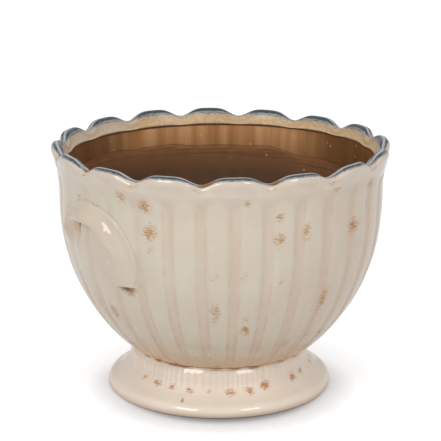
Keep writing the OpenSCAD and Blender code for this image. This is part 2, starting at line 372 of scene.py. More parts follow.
def honey_glaze():
    """Iron glaze, honey above the tide line and dark below it."""
    finish, tree, place, mask = new_finish("brown iron glaze inside", "deep", "thick")
    deep = mask["deep"]
    upright = add(tree, "Mapping", {"Vector": place, "Scale": (1.0, 1.0, 0.07)})
    streaks = add(tree, "TexNoise", {"Vector": upright, "Scale": 1 / STREAK_SIZE, "Detail": 2.5})
    streaks = add(tree, "MapRange", {"Value": streaks, "From Min": 0.36, "From Max": 0.66})
    shade = add(tree, "MapRange", {"Value": deep, "From Min": -16.0, "From Max": 2, "To Max": 0.45})
    honey = light_of("#B47E50")
    for share, code in ((streaks, "#D9A776"), (shade, "#7A5230"), (mask["thick"], "#6B4728")):
        honey = add(tree, "Mix", {0: share, 6: honey, 7: light_of(code)}, data_type="RGBA")

    flat = add(tree, "Mapping", {"Vector": place, "Scale": (0.12, 0.12, 1.0)})
    ragged = add(tree, "TexNoise", {"Vector": flat, "Scale": 1 / TIDE_SIZE, "Detail": 3})
    ragged = add(tree, "Math", {0: ragged, 1: 6, 2: deep}, operation="MULTIPLY_ADD")
    below = add(tree, "MapRange", {"Value": ragged, "From Min": 2.4, "From Max": 7})
    ring = add(tree, "MapRange", {"Value": ragged, "From Min": 2.2, "From Max": 2.9, "To Max": 0.45})
    ring_end = add(tree, "MapRange", {"Value": ragged, "From Min": 4.2, "From Max": 3.1})
    ring = add(tree, "Math", {0: ring, 1: ring_end}, operation="MULTIPLY")

    # Below the tide line the glaze gets darker the deeper it lies, with darker streaks.
    deeper_darker = add(tree, "MapRange", {"Value": deep, "From Max": 26})
    lines = add(tree, "Mapping", {"Vector": place, "Scale": (0.035, 0.035, 1.0)})
    lines = add(tree, "TexNoise", {"Vector": lines, "Scale": 1 / RUN_LINE_SIZE})
    lines = add(tree, "MapRange", {"Value": lines, "From Min": 0.42, "From Max": 0.64, "To Max": 0.5})
    near_line = add(tree, "MapRange", {"Value": deep, "From Min": 16, "From Max": 3})
    lines = add(tree, "Math", {0: lines, 1: near_line}, operation="MULTIPLY")
    dark_streaks = add(tree, "MapRange", {"Value": streaks, "From Min": 0.1, "To Max": 0.35})
    dark = light_of("#9A6B4A")
    for share, code in ((deeper_darker, "#624B39"), (dark_streaks, "#7E5234"), (lines, "#4A3526")):
        dark = add(tree, "Mix", {0: share, 6: dark, 7: light_of(code)}, data_type="RGBA")

    holes = add(tree, "TexVoronoi", {"Vector": place, "Scale": 1 / PINHOLE_GAP})
    pin = add(tree, "MapRange", {
        "Value": holes.outputs["Distance"], "From Min": 0.085, "From Max": 0.055})
    colour = add(tree, "Mix", {0: below, 6: honey, 7: dark}, data_type="RGBA")
    for share, code in ((ring, "#4A3222"), (pin, "#D8B57E")):
        colour = add(tree, "Mix", {0: share, 6: colour, 7: light_of(code)}, data_type="RGBA")
    glass_sheet(tree, place, colour, roughness=0.16, relief=0.14)
    return finish


inside_glaze = honey_glaze()
print("inside:", inside_glaze.name)

# %% [markdown]
# ## Blue-grey glaze on the rim
# The rim was dipped in a cobalt glaze, dark teal along the top of the roll, a milky blue-grey
# down its sides and rust brown beside the valleys. A pale grey-lilac stripe along the top is a
# painted reflection. Below it the roll is cream outside and tan inside, with a dark line where the
# band ends, painted shade in the crease over glaze pooled there. The colours tear along the rim,
# so their noise changes quickly with turn, the angle round the roll, and slowly round the pot.

# %% Rim glaze
MELT_SIZE, SLOWLY, QUICKLY = 14.0, 0.3, 7.0


def cobalt_glaze():
    """Rim glaze, with a mask for each of its colours."""
    names = ("pale", "rust", "blue", "light", "tan", "crease", "turn", "dry")
    finish, tree, place, mask = new_finish("cobalt glaze on the rim", *names)
    clouds = add(tree, "TexNoise", {"Vector": place, "Scale": 1 / MELT_SIZE, "Detail": 4})
    cloudy = add(tree, "MapRange", {"Value": clouds, "From Min": 0.35, "From Max": 0.65})
    cream = add(tree, "Mix", {
        0: cloudy, 6: light_of("#D2C5B5"), 7: light_of("#CEBDAC")}, data_type="RGBA")
    xyz = add(tree, "SeparateXYZ", {"Vector": place}).outputs
    paces = {"X": (xyz["X"], SLOWLY), "Y": (xyz["Y"], SLOWLY), "Z": (mask["turn"], QUICKLY)}
    drawn_out = add(tree, "CombineXYZ", {
        axis: add(tree, "Math", {0: way, 1: pace}, operation="MULTIPLY")
        for axis, (way, pace) in paces.items()})
    ragged = add(tree, "TexNoise", {"Vector": drawn_out, "Scale": 1, "Detail": 4})
    ragged = add(tree, "Math", {0: ragged, 1: 0.5}, operation="SUBTRACT")
    streaks = add(tree, "MapRange", {"Value": ragged, "From Min": -0.22, "From Max": 0.3})
    tan = add(tree, "Mix", {
        0: streaks, 6: light_of("#DBC09A"), 7: light_of("#BE9364")}, data_type="RGBA")
    colour = add(tree, "Mix", {0: mask["tan"], 6: cream, 7: tan}, data_type="RGBA")
    mottled = add(tree, "TexNoise", {"Vector": drawn_out, "Scale": 0.7, "Detail": 3})
    mottled = add(tree, "MapRange", {"Value": mottled, "From Min": 0.38, "From Max": 0.62})
    milky = add(tree, "Mix", {
        0: mottled, 6: light_of("#6F7677"), 7: light_of("#A5A3A6")}, data_type="RGBA")
    # The pale grey-lilac stripe along the top is a painted reflection, and the dark line in the crease
    # is painted shade over pooled glaze.
    paints = (("pale", milky, 1.5), ("rust", light_of("#805430"), 1.5),
              ("blue", light_of("#37474A"), 2.2), ("light", light_of("#B9B9C0"), 1.2),
              ("crease", light_of("#6A4A30"), 0.5))
    for name, paint, reach in paints:
        torn = add(tree, "Math", {0: ragged, 1: reach, 2: mask[name]}, operation="MULTIPLY_ADD")
        lies = add(tree, "MapRange", {"Value": torn, "From Min": 0.25, "From Max": 0.75})
        seen = add(tree, "Math", {0: mask[name], 1: 8}, operation="MULTIPLY", use_clamp=True)
        lies = add(tree, "Math", {0: lies, 1: seen}, operation="MULTIPLY")
        colour = add(tree, "Mix", {0: lies, 6: colour, 7: paint}, data_type="RGBA")
    glass_sheet(tree, place, colour, roughness=0.055, relief=0.12, matt=mask["dry"])
    return finish


rim_glaze = cobalt_glaze()
print("rim:", rim_glaze.name)

# %% [markdown]
# ## Bare clay
# The ring on which the pot stood in the kiln, the hollow foot and the underside of the bowl
# stayed unglazed: buff earthenware, matt, patchy, with sandy grains and darker specks.

# %% Bare earthenware
SAND_SIZE, PATCH_SIZE, SAND_HEIGHT = 1.5, 22.0, 0.3 * MM


def bare_clay():
    """Unglazed buff earthenware."""
    finish, tree, place, _ = new_finish("bare earthenware")
    sand = add(tree, "TexNoise", {"Vector": place, "Scale": 1 / SAND_SIZE, "Detail": 4})
    patchy = add(tree, "TexNoise", {"Vector": place, "Scale": 1 / PATCH_SIZE, "Detail": 3})
    speck = add(tree, "MapRange", {"Value": sand, "From Min": 0.6, "From Max": 0.72})
    colour = light_of("#B9855C")
    for share, code in ((patchy, "#CFA680"), (speck, "#8C5E3E")):
        colour = add(tree, "Mix", {0: share, 6: colour, 7: light_of(code)}, data_type="RGBA")
    rough = add(tree, "MapRange", {"Value": sand, "To Min": 0.72, "To Max": 0.92})
    grit = add(tree, "Bump", {"Height": sand, "Strength": 0.5, "Distance": SAND_HEIGHT})
    shader = add(tree, "BsdfPrincipled", {"Base Color": colour, "Roughness": rough, "Normal": grit})
    add(tree, "OutputMaterial", {"Surface": shader})
    return finish


clay = bare_clay()
print("unglazed:", clay.name)

# %% [markdown]
# ## Where the glaze was wiped
# Each patch that the photograph shows is placed by its angle there, its lowest and highest
# point, its half width in degrees and its strength. The far side, which nobody photographed,
# gets patches of the same kind, on the lobes as well, from the fixed random draw.

# %% Wiped patches
SPREAD, FADE = 1.25, 1.2
WIPED = [
    (-34.5, 189, 202, 2.2, 0.75), (-25.5, 184, 197, 2.6, 1), (-24, 160, 177, 2.9, 1),
    (-23.5, 149, 160, 1.9, 0.6), (8.5, 191, 200, 1.4, 0.75), (19, 201, 203, 0.9, 0.8),
    (19.5, 179, 186, 1.6, 1), (19.7, 158, 171, 2.2, 0.9), (19, 153, 158, 1, 0.4),
    (29.4, 160, 176, 1.8, 0.85), (40.5, 195, 206, 2, 0.85), (50.3, 190, 200, 1.9, 0.5),
    (61, 189, 201, 2.4, 1), (61, 173, 181, 1.4, 0.5), (51.3, 157, 171, 3, 1), (-3, 163, 173, 1.8, 0.35),
    (-2.5, 129, 141, 3, 0.45), (8, 129, 140, 1.8, 0.5), (20.5, 124, 132, 1.2, 0.6),
    (-2.2, 92, 112, 2.2, 0.85), (9, 90, 98, 1.7, 0.6), (9.5, 78, 90, 2.4, 1),
    (12.8, 104.5, 106.5, 0.5, 1), (20, 94, 110, 1.8, 0.35), (41, 88, 121, 2, 0.85),
    (41.7, 73, 80, 1.3, 0.6), (42, 67, 71, 1.8, 0.8), (31, 56, 72, 1.8, 0.7), (52, 58, 70, 3.2, 0.7),
    (-46.5, 80, 99, 2.8, 0.9), (-55.5, 75, 106, 2.8, 0.55), (-34.6, 109.5, 116.5, 3.3, 1),
    (-56.2, 184, 189, 1.3, 0.8), (-12, 179.5, 181, 0.5, 0.8), (-42, 38, 44, 5, 0.6),
    (-2, 38, 43, 2.6, 0.8), (46, 36, 42, 4, 1), (64, 70, 82, 2.2, 0.5), (-64, 90, 130, 3, 0.35),
]
UNSEEN_PATCHES, FIRST_LOBE, LOBE_TURN = 58, -12.3, 360 / FLUTES
for _ in range(UNSEEN_PATCHES):
    lobe_middle = FIRST_LOBE + LOBE_TURN * hand.integers(8, 24)
    middle, tall = hand.uniform(62, 198), hand.uniform(3, 10)
    at = lobe_middle + hand.uniform(-1.5, 1.5)
    WIPED.append((at, middle - tall, middle + tall, hand.uniform(1.2, 2.8), hand.uniform(0.35, 1.0)))


def patches(rings, places):
    """Mask with each patch's strength in its middle, which fades to 0 a little beyond its edge."""
    angle, z = np.arctan2(rings[..., 1], rings[..., 0]), rings[..., 2]
    mask = np.zeros(z.shape)
    for at, z0, z1, half, strength in places:
        aside = apart(angle, photo_angle(at)) / radians(SPREAD * half)
        above = (z - (z0 + z1) / 2 * PHOTO_SCALE) / ((z1 - z0) / 2 * PHOTO_SCALE + FADE)
        mask = np.maximum(mask, strength * np.clip(SPREAD - np.hypot(aside, above), 0, 1))
    return mask


# Painted shade on the bowl under the near handle's crown.
UNDER_CROWN = [(-64, 146, 172, 4.5, 0.75)]
print(len(WIPED), "wiped patches")

# %% [markdown]
# ## The wall of the bowl
# The side follows a quarter of an ellipse from the foot up to the widest place, then flares a
# little to the rim. Narrow grooves cut it into lobes with round tops, like the staves of a
# barrel. A soft step 8 mm wide turns the distance from a lobe's edge into depth.

# %% Fluted wall
GROOVE_DEPTH, GROOVE_W, LOBE_TOP = 1.6, 8.0, 199.0
PITCH = 2 * pi * BELLY_R / FLUTES
LOBE_W = PITCH - GROOVE_W
SIDE_B = (BELLY_Z - FOOT_TOP) / sqrt(1 - (WAIST_R / BELLY_R) ** 2)
FLARE_RISE = 26.0


def side_r(z):
    """Radius of the side over the tops of the lobes."""
    up = np.maximum(0, z - (SEAT_Z - FLARE_RISE)) / FLARE_RISE
    below = (BELLY_Z - np.minimum(z, BELLY_Z)) / SIDE_B
    return BELLY_R * np.sqrt(1 - below ** 2) + (RIM_R - BELLY_R) * 0.5 * up * up


def from_groove(angle):
    """Distance to the nearest groove, as a share of the pitch."""
    share = (angle * FLUTES / (2 * pi)) % 1
    return np.minimum(share, 1 - share)


def smoothed_over(angle, z):
    """Share of the grooves that a wet hand wiped away round each handle."""
    aside = np.minimum(np.abs(apart(angle, 0.0)), np.abs(apart(angle, pi))) * BELLY_R
    return 0.7 * (1 - smooth((np.hypot(aside / 70, (z - 158) / 58) - 0.7) / 0.6))


def lobe(angle, z):
    """How far a lobe has risen, from 0 in a groove to 1."""
    across = (0.5 - from_groove(angle)) * PITCH
    above = np.maximum(0, z - (LOBE_TOP - LOBE_W / 2))
    risen = smooth(0.5 + (LOBE_W / 2 - np.hypot(across, above)) / GROOVE_W)
    return 1 - (1 - risen) * (1 - smoothed_over(angle, z))


def wall_r(angle, z):
    """Radius of the fluted wall, with the hand's unevenness."""
    start = LOBE_TOP - GROOVE_W
    left = 1 - smooth((z - start) / (SEAT_Z - start))
    crown = 1 - 0.25 * (1 - 2 * from_groove(angle)) ** 2
    cut = GROOVE_DEPTH / BELLY_R * (1 - lobe(angle, z) * crown) * left
    ends = smooth((SEAT_Z - z) / 20) * smooth((z - FOOT_TOP) / 12)
    return side_r(z) * (1 - cut) + 0.35 * uneven(angle, z) * ends


print("lobes are", round(LOBE_W, 1), "mm wide, one every", round(PITCH, 1), "mm")

# %% [markdown]
# ## The rolled rim
# The rim is a roll of clay about 10 mm thick, pinched down and drawn in at sixteen places, with
# a band inside it that ends in a soft edge over the wall. Its cross-section over a crest is a
# smooth curve through a few points, and each point takes its own share of the fall.

# %% Rim rings
LIP_W, SCALLOP_FALL, SCALLOP_DRAW = 10.5, 6.6, 2.8
SEAT_IN_R, BAND_R, BAND_Z = 134.8, 133.0, 207.0
LIP_R, LIP_Z = RIM_R - LIP_W / 2, RIM_TOP - LIP_W / 2
BELOW_SEAT = SEAT_Z - 5


def inside_r(z):
    """Radius of the inside wall of the bowl."""
    below = (BELLY_Z - np.minimum(z, BELLY_Z)) / (SIDE_B - 1.2 * WALL)
    up = np.maximum(0, z - BELLY_Z) / (SEAT_Z - BELLY_Z)
    return (BELLY_R - WALL) * np.sqrt(1 - below ** 2) + (SEAT_IN_R - BELLY_R + WALL) * up * up


def curve_through(points, steps, before, after):
    """Smooth curve through points, with a point before and after it for its end directions."""
    p = np.concatenate([[before], points, [after]]).astype(float)
    t = (np.arange(steps) / steps)[:, None]
    spans = []
    for a, b, c, d in zip(p, p[1:], p[2:], p[3:]):
        bow, swing = 2 * a - 5 * b + 4 * c - d, 3 * b - a - 3 * c + d
        spans.append(0.5 * (2 * b + (c - a) * t + bow * t ** 2 + swing * t ** 3))
    return np.concatenate(spans + [p[-2:-1]])


ROLL = [
    (0, -20), (0, -4), (0.13, 13), (0.13, 39), (0, 64), (0, 92), (0, 120), (0, 148), (0, 176),
]
roll = [(LIP_R + (LIP_W / 2 + out) * cos(radians(t)),
         LIP_Z + (LIP_W / 2 + out) * sin(radians(t)), 1) for out, t in ROLL]
section = np.array([(side_r(SEAT_Z), SEAT_Z, 0), (145.4, 208.5, 0.4)] + roll + [
    (135.8, 211.9, 0.75), (134.3, 209.0, 0.45), (BAND_R + 0.1, BAND_Z, 0.2), (133.4, 205.7, 0.1),
    (134.8, 204.55, 0), (SEAT_IN_R, SEAT_Z, 0)])
before, after = ((radius_at(BELOW_SEAT), BELOW_SEAT, 0) for radius_at in (side_r, inside_r))
section = curve_through(section, 4, before, after)
follows = section[:, 2:]
dip = (1 + np.cos(round_pot * SCALLOPS)) / 2
valley = dip ** 2.2
fall, draw_in = valley * follows, dip ** 1.5 * follows
settled = np.clip(follows, 0, 1) * (sunk(round_pot) + 0.35 * (1 + uneven(round_pot, 210.0)))
rim_r = section[:, :1] - SCALLOP_DRAW * draw_in - follows * (0.47 + 0.3 * uneven(round_pot, 90.0))
rim_rings = turned(rim_r, round_pot, section[:, 1:2] - SCALLOP_FALL * fall - settled)
print("the rim section has", len(section), "points; top", rim_rings[..., 2].max().round(1), "mm")

# %% [markdown]
# ## Bowl rings
# The bowl runs from the middle of its underside, round its lower edge, up the fluted wall to
# the seat of the rim, then down the smooth inside to the floor. The normals at the seat are
# worked out over bowl and rim together, so that the light runs on over the joint.

# %% Bowl rings
EDGE_R, FLOOR_Z, CORNER_R = 1.3, 46.5, 10.0
under = turned(np.array([[14.0], [40.0], [60.0], [70.0], [NECK_R]]), round_pot, FOOT_TOP)
bend = np.radians([[-90], [-65], [-40], [-20], [0]])
edge_z = FOOT_TOP + EDGE_R * (1 + np.sin(bend))
edge = turned(wall_r(round_pot, edge_z) - EDGE_R * (1 - np.cos(bend)), round_pot, edge_z)
spans = ((FOOT_TOP + EDGE_R, 60, 14), (60, 180, 62), (180, SEAT_Z, 18))
heights = np.concatenate([np.linspace(*span)[1 if n else 0:] for n, span in enumerate(spans)])[:, None]
wall = turned(wall_r(round_pot, heights), round_pot, heights)
depths = np.linspace(SEAT_Z, FLOOR_Z + CORNER_R, 60)[:, None]
ripple = 0.25 * uneven(round_pot, depths) * smooth((SEAT_Z - depths) / 15)
inner = turned(inside_r(depths) + ripple, round_pot, depths)
bend = np.radians(np.arange(10, 91, 10))[:, None]
corner_r = float(inside_r(FLOOR_Z + CORNER_R)) - 1.8 * CORNER_R * (1 - np.cos(bend))
corner = turned(corner_r, round_pot, FLOOR_Z + CORNER_R * (1 - np.sin(bend)))
floor = turned(np.array([[56.0], [40.0], [24.0], [10.0]]), round_pot, FLOOR_Z)

outside = np.concatenate([edge, wall[1:]])
inside = np.concatenate([inner, corner, floor])
all_normals = ring_normals(np.concatenate([outside, rim_rings[1:], inside[1:]]))
rim_start, rim_end = len(outside) - 1, len(outside) + len(rim_rings) - 2
down, up = (0.0, 0.0, -1.0), (0.0, 0.0, 1.0)


def round_place(strips):
    """All the rings of a piece, with the angle and height of each point."""
    rings = np.concatenate([strip[0][1 if n else 0:] for n, strip in enumerate(strips)])
    return rings, np.arctan2(rings[..., 1], rings[..., 0]), rings[..., 2]


underneath = np.concatenate([under, edge[:1]])
seat = np.stack([wall[-1], inner[0]])
bowl_strips = [
    (underneath, down, 2),
    (outside, all_normals[:rim_start + 1], 0),
    (seat, up, 0),
    (inside, all_normals[rim_end:], 1),
]
print("the bowl has", len(outside), "rings outside and", len(inside), "inside")

# %% [markdown]
# ## Where the glaze lies on the bowl
# The masks say where the glaze pooled in the grooves, more in some than in others, where it broke
# over their edges and where it was wiped. From about -120 to 35 degrees round the pot the grooves
# are darker and pinker. A browner tan paints shade low down, where it also paints the foot's
# reflection, at both sides and under the near handle's crown. The tide line is given by its angle
# in the photograph and its height. Under the end of the near handle a dark, dull line paints its
# shadow, over glaze pooled brown there.

# %% Bowl
TIDE = [
    (-180, 184), (-171, 185), (-159, 187.5), (-145, 186), (-133, 188.4), (-124, 188), (-80, 184),
    (-20, 187), (40, 185), (90, 184), (119, 180), (125, 178.3), (134, 179.4), (146, 179), (153, 183),
    (160, 185.4), (168, 185.2), (180, 184),
]
# Place of the painted shadow under the end of the near handle.
UNDER_HANDLE_END = (-34.8, 115.6, 117.0)
bowl_rings, bowl_angle, bowl_z = round_place(bowl_strips)
rise = lobe(bowl_angle, bowl_z)
shown = 1 - smooth((bowl_z - 192) / 10)
low_down = 1 - smooth((bowl_z - 45) / 85)
tide_at, tide_z = np.array(TIDE).T
seen_from = np.degrees(bowl_angle) - PHOTO_TURN
level = np.interp((seen_from + 180) % 360 - 180, tide_at, tide_z)
from_middle = np.degrees(apart(bowl_angle, photo_angle(0)))
from_right, from_back = (apart(bowl_angle, photo_angle(at)) for at in (38, 183))
pooled = (1 - rise) ** 1.4 * (0.85 + 0.4 * uneven(3 * bowl_angle, bowl_z))
# Darker, pinker grooves from about -120 to 35 degrees round the pot.
side_tint = smooth((from_right + 0.5) / 0.7) * smooth((2.2 - from_right) / 0.7)
bowl_masks = {
    "groove": pooled * shown + 0.5 * side_tint,
    "edge": np.clip(4 * rise * (1 - rise), 0, 1) ** 3 * shown * mix(0.32, 0.85, low_down),
    "wiped": patches(bowl_rings, WIPED),
    # Painted shade: low down, where it also paints the foot's reflection, under the near crown and at
    # both sides.
    "painted_shade": 0.66 * (1 - smooth((bowl_z - FOOT_TOP) / 26)) + 0.26 * low_down
    + patches(bowl_rings, UNDER_CROWN) + 0.08 * smooth((np.abs(from_middle) - 35) / 30)
    + 0.06 * smooth((-from_middle - 30) / 25),
    "deep": level - bowl_z,
    # Darker everywhere inside but at the middle of the back.
    "thick": 0.85 * smooth((np.abs(from_back) - 0.45) / 0.55),
    # Painted shadow under the end of the near handle, over pooled glaze.
    "shadow_and_pooled_glaze": patches(bowl_rings, [(*UNDER_HANDLE_END, 3.0, 1.2)]),
    "dry": patches(bowl_rings, [(*UNDER_HANDLE_END, 4.0, 1.6)]) + 0.15 * smooth((175 - bowl_z) / 40),
}
bowl = skin("fluted_bowl", bowl_strips, [bowl_glaze, inside_glaze, clay], bowl_masks)
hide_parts("bowl")

# %% [markdown]
# ## Rim
# The masks follow the turn round the roll: 0 degrees faces outward, 90 up and 180 inward. The
# cobalt lies on top, wider over a crest than in a valley. The rust comes just beside each valley,
# more at some places than at others. At the left of the back the band inside is cream instead of
# tan.

# %% Rim
RUSTY = [
    (-180, 0.6), (-60, 1), (-42, 1), (-30, 0.4), (-18, 0.9), (0, 1), (20, 0.8), (32, 0.4), (180, 0.6),
]
turn = np.degrees(np.arctan2(section[:, 1] - LIP_Z, section[:, 0] - LIP_R))[:, None]
turn = np.where(turn < -100, turn + 360, turn)
over_crest = 1 - valley
outer_end, inner_end = mix(62, 36, over_crest), mix(112, 170, over_crest)
rusty_at, rusty = np.array(RUSTY).T
beside = np.exp(-apart(round_pot * SCALLOPS, 0.6) ** 2)
thin = beside * np.interp(np.degrees(apart(round_pot, photo_angle(0))), rusty_at, rusty)
from_cream = np.abs(np.degrees(apart(round_pot, photo_angle(-116))))
inward = smooth((turn - 105) / 30)


def band(start, soft_start, end, soft_end):
    """Mask over the turn from start to end, in degrees, each with its soft width."""
    return smooth((turn - start) / soft_start) * smooth((end - turn) / soft_end)


rim_masks = {
    "pale": band(outer_end - 6, 12, inner_end + 6, 12),
    "blue": (1 - thin) * band(mix(62, 46, over_crest), 8, mix(74, 78, over_crest), 8)
    + band(98, 6, mix(106, 150, over_crest), 14),
    # Painted reflection along the top of the roll.
    "light": (1 - 0.8 * thin) * band(80, 5, 98, 5),
    "rust": thin * band(38, 12, 100, 14) + 0.32 * dip ** 4 * band(-4, 10, 34, 12)
    + 0.55 * (0.4 + 0.6 * valley) * band(inner_end + 2, 6, inner_end + 20, 8),
    "tan": inward * (1 - 0.6 * smooth((32 - from_cream) / 14)),
    "dry": 0.6 * inward,
    # Painted shade in the crease under the band, over pooled glaze.
    "crease": smooth((turn - 224) / 10),
    "turn": np.radians(turn),
}
seat_band = np.stack([rim_rings[-1], rim_rings[0]])
rim_strips = [(rim_rings, all_normals[rim_start:rim_end + 1], 0), (seat_band, down, 0)]
rim = skin("scalloped_rim", rim_strips, [rim_glaze], rim_masks, loop=True)
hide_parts("rim_roll")

# %% [markdown]
# ## The foot
# The foot flares like a trumpet from a narrow neck to an upright edge on the ground. Fine ribs,
# as a toothed rib tool leaves them, run down it and fade out above a plain skirt. It is hollow, as
# thrown feet are, with an unglazed ring to stand on.

# %% Foot rings
SKIRT_Z, RIB_H, RIBS, FOOT_WALL = 16.5, 0.4, FLUTES * 3, 8.0
profile = np.array([
    (98.2, 0), (98.8, 0.5), (99, 1.4), (99, 2.4), (98.8, 3.7), (98.4, 5), (97.9, 6.1), (97.35, 7.1),
    (96.5, 8.2), (95.1, 9.3), (92.6, 10.6), (89.4, 12.2), (86.2, 14.3), (83.5, 16.6), (81.5, 19),
    (80.2, 21.3), (79.5, 23.4), (79.2, 25), (79.1, 26.8), (79, 29), (78.85, 30.6), (78.6, 31.5),
    (78.1, 32.5), (77.55, 33.5), (77, 34.5), (76.5, 35.4), (76.15, 36.2), (76, 37.5),
])
profile = curve_through(profile, 3, (97.4, -0.3), (76.0, 38.3))
view_turn = radians(VIEW_AZIMUTH)
picture_right = np.array([cos(view_turn), sin(view_turn), 0])


def foot_side_r(z):
    """Radius of the sweep of the foot."""
    return np.interp(z, profile[:, 1], profile[:, 0])


def set_off(rings):
    """The foot was set on a hair off centre: about 2 mm below the joint."""
    off = 1.9 - 0.9 * smooth((rings[..., 2:] - 24) / 13)
    return rings - off * picture_right


def rib_wave(angle):
    """Wave from -1 to 1 that has its crests on the ribs, which aren't quite evenly spaced."""
    return np.cos(RIBS * angle + 4.0 * uneven(angle, 0.0))


levels = profile[:, 1:]
ribbed = smooth((levels - SKIRT_Z) / 5) * smooth((33.5 - levels) / 4)
ribbed = ribbed * (0.7 + 0.3 * np.sin(7 * round_pot))
ripple = 0.2 * uneven(round_pot, levels) * smooth((levels - 2) / 6) * smooth((FOOT_TOP - levels) / 6)
ribs_cut = RIB_H * (0.5 - 0.5 * rib_wave(round_pot)) * ribbed
foot_outside = set_off(turned(profile[:, :1] - ribs_cut + ripple, round_pot, levels))
inner_levels = np.linspace(FOOT_TOP, 0, 24)[:, None]
thicker = 1.5 * smooth((16 - inner_levels) / 8)
hollow_r = foot_side_r(np.maximum(inner_levels, 6.0)) - FOOT_WALL - thicker
hollow = set_off(turned(hollow_r, round_pot, inner_levels))
foot_top, stand = np.stack([foot_outside[-1], hollow[0]]), np.stack([hollow[-1], foot_outside[0]])
foot_strips = [
    (foot_outside, ring_normals(foot_outside), 0),
    (foot_top, up, 1),
    (hollow, ring_normals(hollow), 1),
    (stand, down, 1),
]
print("the foot is", round(float(2 * profile[:, 0].max())), "mm across and has", RIBS, "ribs")

# %% [markdown]
# ## Glaze on the foot
# Where the ribs fade into the skirt, the brush left a row of ochre spots all round. Between the
# ribs the glaze is pinkish, and they are duller than the skirt. A browner band near the ground
# and another at the neck, under the bowl, are painted shade.

# %% Foot
SPOTS = [
    (-53, 17, 21, 2.2, 0.8), (-41, 16.5, 20.5, 3.2, 1.1), (-30.5, 16, 19.5, 2.8, 1),
    (-18.5, 16, 19, 2.6, 1), (-7, 16.5, 19, 1.8, 0.6), (5.5, 15, 19.5, 3.2, 1.05), (17, 14.5, 20, 3, 1),
    (28, 16, 23, 3.4, 1.2), (51, 16, 23, 3.4, 1.1), (61, 18, 23, 2.6, 1), (-21, 10.5, 12, 0.8, 1.2),
]
FIRST_SPOT = -6.7
for n in range(8, 24):
    at = FIRST_SPOT + LOBE_TURN * n + hand.uniform(-1, 1)
    SPOTS.append((at, 16.5, 20, hand.uniform(1.2, 2.6), hand.uniform(0.4, 1.0)))
foot_rings, foot_angle, foot_z = (part[:-1] for part in round_place(foot_strips))
above_skirt = smooth((foot_z - SKIRT_Z) / 4)
foot_masks = {
    "groove": 0.9 * (0.5 - 0.5 * rib_wave(foot_angle)) * above_skirt,
    "edge": 0.12 * smooth(1 - from_groove(foot_angle) / 0.16) * above_skirt,
    "wiped": patches(foot_rings, SPOTS),
    # Painted shade near the ground and at the neck, under the bowl.
    "painted_shade": 0.35 * smooth((foot_z - 34.5) / 3) + 0.6 * smooth((6.5 - foot_z) / 5),
    "shadow_and_pooled_glaze": 0.0,
    "dry": 0.9 * smooth((foot_z - 13) / 4) * smooth((30.5 - foot_z) / 3),
}
foot = skin("flared_foot", foot_strips, [foot_glaze, clay], foot_masks, loop=True)
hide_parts("foot")

# %% [markdown]
# ## The bead at the joint
# Slip and glaze gathered in the corner between the neck of the foot and the bowl. The bead is
# thicker here and thinner there, so its size follows the same slow waves.

# %% Joint bead
BLOT_SIZE, BEAD_W, BEAD_H, BEAD_DROP = 16.0, 2.2, 2.5, 1.3


def pooled_glaze():
    """Cream glaze that pooled brown in places."""
    finish, tree, place, _ = new_finish("glaze pooled at the joint")
    blots = add(tree, "TexNoise", {"Vector": place, "Scale": 1 / BLOT_SIZE, "Detail": 4})
    blots = add(tree, "MapRange", {"Value": blots, "From Min": 0.46, "From Max": 0.64})
    colour = add(tree, "Mix", {
        0: blots, 6: light_of("#E2CBB0"), 7: light_of("#B58654")}, data_type="RGBA")
    glass_sheet(tree, place, colour, roughness=0.14)
    return finish


arc = np.radians(np.arange(-90, 91, 30))[:, None]
thick = 1 + 0.25 * uneven(4 * round_pot, 20.0)
bead_r = NECK_R + 0.02 + BEAD_W * np.cos(arc) * thick
bead_out = turned(bead_r, round_pot, FOOT_TOP - BEAD_DROP + BEAD_H / 2 * np.sin(arc))
bead_in = np.stack([bead_out[-1], bead_out[0]])
bead_strips = [(bead_out, ring_normals(bead_out), 0), (bead_in, ring_normals(bead_in), 0)]
bead = skin("joint_slip", bead_strips, [pooled_glaze()], loop=True)
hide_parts("joint_bead")

# %% [markdown]
# ## The handles
# Each handle is a flat strap of clay, bent into an arch and pressed on the wall. Its outer edge
# is a rounded bead, its middle is a little hollow, and behind the crown it stands off the wall
# for the fingers. It has one cross-section over the crown and one over a leg. Each point has its
# place across the strap in widths, its share of the strap's height, its share of the gap behind
# the crown, and how many mm it is pressed into the wall.

